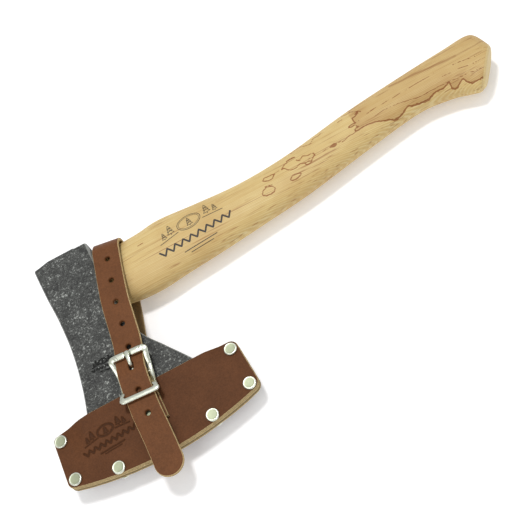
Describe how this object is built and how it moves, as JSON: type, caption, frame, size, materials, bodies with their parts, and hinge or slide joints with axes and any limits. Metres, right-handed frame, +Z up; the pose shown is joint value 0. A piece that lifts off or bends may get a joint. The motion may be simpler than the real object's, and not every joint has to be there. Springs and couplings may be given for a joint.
{
  "type": "axe",
  "caption": "Small forestry axe with a curved wooden handle and a riveted leather edge sheath, held on by a buckled strap round the eye.",
  "frame": {"origin": "under the middle of the whole part, on the surface it lies on", "axes": "+X runs along the handle towards its knob, +Y towards the poll (the cutting edge faces -Y), +Z up, away from the surface the axe lies on"},
  "size_m": [0.3873, 0.1957, 0.0326],
  "materials": {
    "forged_steel": "dark forged and tumbled steel with light scratches",
    "handle_wood": "oiled light wood with dark spalting lines",
    "wedge_wood": "darker end-grain wood",
    "wedge_steel": "bare steel",
    "sheath_leather": "dark brown leather with light cut edges",
    "strap_leather": "mid brown leather with light cut edges",
    "nickel": "nickel plate"
  },
  "bodies": {
    "axe": {"axe_head": "forged_steel", "handle": "handle_wood", "wood_wedge": "wedge_wood", "ring_wedge": "wedge_steel"},
    "sheath": {"sheath_front": "sheath_leather", "sheath_welt": "sheath_leather", "sheath_back": "sheath_leather", "rivet_caps": "nickel", "rivet_posts": "nickel", "strap_back": "strap_leather", "anchor_caps": "nickel", "anchor_posts": "nickel", "buckle_loop": "strap_leather"},
    "strap_link_1": {"strap_wrap_lower": "strap_leather"},
    "strap_link_2": {"strap_wrap_middle": "strap_leather"},
    "strap_link_3": {"strap_wrap_upper": "strap_leather"},
    "strap_end": {"strap_front": "strap_leather"},
    "buckle": {"buckle_frame": "nickel"},
    "tongue": {"buckle_tongue": "nickel"}
  },
  "joints": [
    {"name": "sheath_slide", "type": "slide", "parent": "axe", "child": "sheath", "axis": [0, -1, 0], "range_m": [0, 0.07], "deforming": ["strap_wrap_lower", "strap_wrap_middle", "strap_wrap_upper", "strap_front"]},
    {"name": "strap_bend_1", "type": "hinge", "parent": "sheath", "child": "strap_link_1", "pos_m": [-0.1127, 0.0701, 0.0014], "axis": [-0.9829, 0.184, 0], "range_deg": [0, 30.1]},
    {"name": "strap_bend_2", "type": "hinge", "parent": "strap_link_1", "child": "strap_link_2", "pos_m": [-0.1105, 0.08185, 0.0083], "axis": [-0.9829, 0.184, 0], "range_deg": [0, 60.2]},
    {"name": "strap_bend_3", "type": "hinge", "parent": "strap_link_2", "child": "strap_link_3", "pos_m": [-0.1105, 0.08185, 0.0221], "axis": [-0.9829, 0.184, 0], "range_deg": [0, 60.2]},
    {"name": "strap_bend_4", "type": "hinge", "parent": "strap_link_3", "child": "strap_end", "pos_m": [-0.1127, 0.0701, 0.029], "axis": [-0.9829, 0.184, 0], "range_deg": [0, 30.1]},
    {"name": "buckle_tilt", "type": "hinge", "parent": "sheath", "child": "buckle", "pos_m": [-0.1262, -0.0263, 0.0251], "axis": [0.9969, -0.0785, 0], "range_deg": [-12, 0]},
    {"name": "tongue_pivot", "type": "hinge", "parent": "buckle", "child": "tongue", "pos_m": [-0.1262, -0.0263, 0.0251], "axis": [0.9969, -0.0785, 0], "range_deg": [0, 75]}
  ],
  "couplings": [
    {"joint": "strap_bend_1", "follows": "sheath_slide", "rad_per_m": 7.4974},
    {"joint": "strap_bend_2", "follows": "sheath_slide", "rad_per_m": 14.995},
    {"joint": "strap_bend_3", "follows": "sheath_slide", "rad_per_m": 14.995},
    {"joint": "strap_bend_4", "follows": "sheath_slide", "rad_per_m": 7.4974},
    {"joint": "buckle_tilt", "follows": "sheath_slide", "rad_per_m": -2.989},
    {"joint": "tongue_pivot", "follows": "sheath_slide", "rad_per_m": 18.681}
  ]
}
